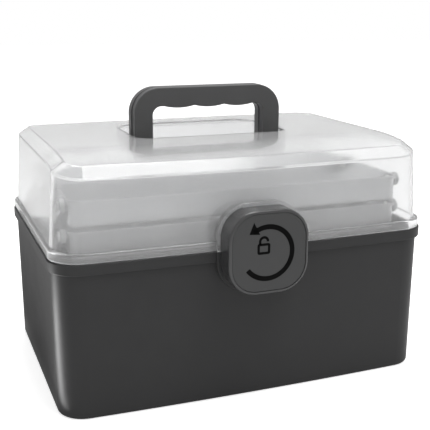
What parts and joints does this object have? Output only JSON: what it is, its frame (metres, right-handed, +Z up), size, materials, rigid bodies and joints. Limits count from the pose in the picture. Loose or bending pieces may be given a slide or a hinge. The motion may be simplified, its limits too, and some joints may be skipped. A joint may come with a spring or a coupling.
{
  "type": "medicine box with handle",
  "caption": "Medicine storage box with a dark tub, a see-through hinged lid, two swing-out trays on link arms, a folding carrying handle and a turning front latch.",
  "frame": {"origin": "on the floor, under the middle of the tub's plan outline", "axes": "+X to the right seen from the front, +Y from the front to the back, +Z up"},
  "size_m": [0.3324, 0.2635, 0.248],
  "materials": {
    "base_tub": "fine satin",
    "arm_bracket_left": "fine satin",
    "arm_bracket_right": "fine satin",
    "bracket_pins": "smooth",
    "hinge_pins": "satin",
    "latch_screw": "satin",
    "latch_washer": "satin",
    "lid_shell": "frosted, see-through",
    "handle_pins": "satin",
    "carry_handle": "fine satin",
    "latch_knob": "fine satin",
    "latch_cap": "fine satin",
    "lower_front_arm_left": "frosted, see-through",
    "lower_front_arm_right": "frosted, see-through",
    "lower_rear_arm_left": "frosted, see-through",
    "lower_rear_arm_right": "frosted, see-through",
    "lower_tray": "frosted, see-through",
    "lower_tray_pins": "smooth",
    "lower_tray_dividers": "frosted, see-through",
    "upper_front_arm_left": "frosted, see-through",
    "upper_front_arm_right": "frosted, see-through",
    "upper_rear_arm_left": "frosted, see-through",
    "upper_rear_arm_right": "frosted, see-through",
    "upper_tray": "frosted, see-through",
    "upper_tray_pins": "smooth"
  },
  "bodies": {
    "base": {"base_tub": "base_tub", "arm_bracket_left": "arm_bracket_left", "arm_bracket_right": "arm_bracket_right", "bracket_pins": "bracket_pins", "hinge_pins": "hinge_pins", "latch_screw": "latch_screw", "latch_washer": "latch_washer"},
    "lid": {"lid_shell": "lid_shell", "handle_pins": "handle_pins"},
    "handle": {"carry_handle": "carry_handle"},
    "latch": {"latch_knob": "latch_knob", "latch_cap": "latch_cap"},
    "lower_front_arms": {"lower_front_arm_left": "lower_front_arm_left", "lower_front_arm_right": "lower_front_arm_right"},
    "lower_rear_arms": {"lower_rear_arm_left": "lower_rear_arm_left", "lower_rear_arm_right": "lower_rear_arm_right"},
    "lower_tray": {"lower_tray": "lower_tray", "lower_tray_pins": "lower_tray_pins", "lower_tray_dividers": "lower_tray_dividers"},
    "upper_front_arms": {"upper_front_arm_left": "upper_front_arm_left", "upper_front_arm_right": "upper_front_arm_right"},
    "upper_rear_arms": {"upper_rear_arm_left": "upper_rear_arm_left", "upper_rear_arm_right": "upper_rear_arm_right"},
    "upper_tray": {"upper_tray": "upper_tray", "upper_tray_pins": "upper_tray_pins"}
  },
  "joints": [
    {"name": "lid_hinge", "type": "hinge", "parent": "base", "child": "lid", "pos_m": [0, 0.121, 0.1295], "axis": [-1, 0, 0], "range_deg": [0, 116]},
    {"name": "handle_fold", "type": "hinge", "parent": "lid", "child": "handle", "pos_m": [0, 0.006, 0.2002], "axis": [-1, 0, 0], "range_deg": [0, 90]},
    {"name": "latch_turn", "type": "hinge", "parent": "base", "child": "latch", "pos_m": [0, -0.119, 0.131], "axis": [0, 1, 0], "range_deg": [0, 90]},
    {"name": "lower_front_swing", "type": "hinge", "parent": "base", "child": "lower_front_arms", "pos_m": [0, -0.01588, 0.118], "axis": [-1, 0, 0], "range_deg": [0, 62.1]},
    {"name": "lower_rear_swing", "type": "hinge", "parent": "base", "child": "lower_rear_arms", "pos_m": [0, 0.0636, 0.118], "axis": [-1, 0, 0], "range_deg": [0, 62.1]},
    {"name": "lower_tray_level", "type": "hinge", "parent": "lower_front_arms", "child": "lower_tray", "pos_m": [0, -0.075, 0.1425], "axis": [-1, 0, 0], "range_deg": [-62.1, 0]},
    {"name": "upper_front_swing", "type": "hinge", "parent": "lower_tray", "child": "upper_front_arms", "pos_m": [0, -0.01588, 0.1425], "axis": [-1, 0, 0], "range_deg": [0, 62.1]},
    {"name": "upper_rear_swing", "type": "hinge", "parent": "lower_tray", "child": "upper_rear_arms", "pos_m": [0, 0.0636, 0.1425], "axis": [-1, 0, 0], "range_deg": [0, 62.1]},
    {"name": "upper_tray_level", "type": "hinge", "parent": "upper_front_arms", "child": "upper_tray", "pos_m": [0, -0.075, 0.167], "axis": [-1, 0, 0], "range_deg": [-62.1, 0]}
  ],
  "couplings": [
    {"joint": "lower_front_swing", "follows": "lid_hinge", "ratio": 0.535},
    {"joint": "lower_rear_swing", "follows": "lid_hinge", "ratio": 0.535},
    {"joint": "lower_tray_level", "follows": "lid_hinge", "ratio": -0.535},
    {"joint": "upper_front_swing", "follows": "lid_hinge", "ratio": 0.535},
    {"joint": "upper_rear_swing", "follows": "lid_hinge", "ratio": 0.535},
    {"joint": "upper_tray_level", "follows": "lid_hinge", "ratio": -0.535}
  ]
}
